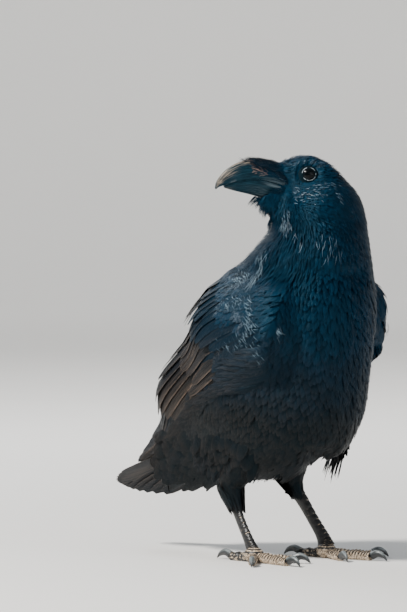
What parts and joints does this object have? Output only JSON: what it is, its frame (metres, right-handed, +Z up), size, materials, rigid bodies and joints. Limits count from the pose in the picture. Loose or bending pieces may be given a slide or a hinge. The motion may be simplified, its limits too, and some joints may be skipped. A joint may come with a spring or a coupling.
{
  "type": "raven",
  "caption": "Life-size standing raven with its head turned over its right shoulder, wings folded, on two feet.",
  "frame": {"origin": "on the ground, under the middle of the bird's bounding box", "axes": "+Z up; -Y the way the bird's body faces; +X the bird's left"},
  "size_m": [0.1822, 0.3346, 0.4037],
  "materials": {
    "plumage": "glossy blue-black body feathers",
    "flight_feathers": "brown-black worn flight feathers, satin",
    "bill": "black horn, worn paler along the ridge",
    "eye": "very dark brown, wet gloss",
    "leg": "black scaled skin, dusty tan at the sides",
    "claw": "grey-black horn, satin"
  },
  "bodies": {
    "root": {"bill_lower": "bill", "bill_upper": "bill", "claw_left_hind": "claw", "claw_left_inner": "claw", "claw_left_middle": "claw", "claw_left_outer": "claw", "claw_right_hind": "claw", "claw_right_inner": "claw", "claw_right_middle": "claw", "claw_right_outer": "claw", "eye_left": "eye", "eye_right": "eye", "head": "plumage", "neck": "plumage", "tail": "flight_feathers", "tarsus_left": "leg", "tarsus_right": "leg", "thigh_left": "plumage", "thigh_right": "plumage", "toe_left_hind": "leg", "toe_left_inner": "leg", "toe_left_middle": "leg", "toe_left_outer": "leg", "toe_right_hind": "leg", "toe_right_inner": "leg", "toe_right_middle": "leg", "toe_right_outer": "leg", "trunk": "plumage", "wing_left_coverts": "plumage", "wing_left_primaries": "flight_feathers", "wing_left_secondaries": "flight_feathers", "wing_right_coverts": "plumage", "wing_right_primaries": "flight_feathers", "wing_right_secondaries": "flight_feathers"}
  },
  "joints": []
}
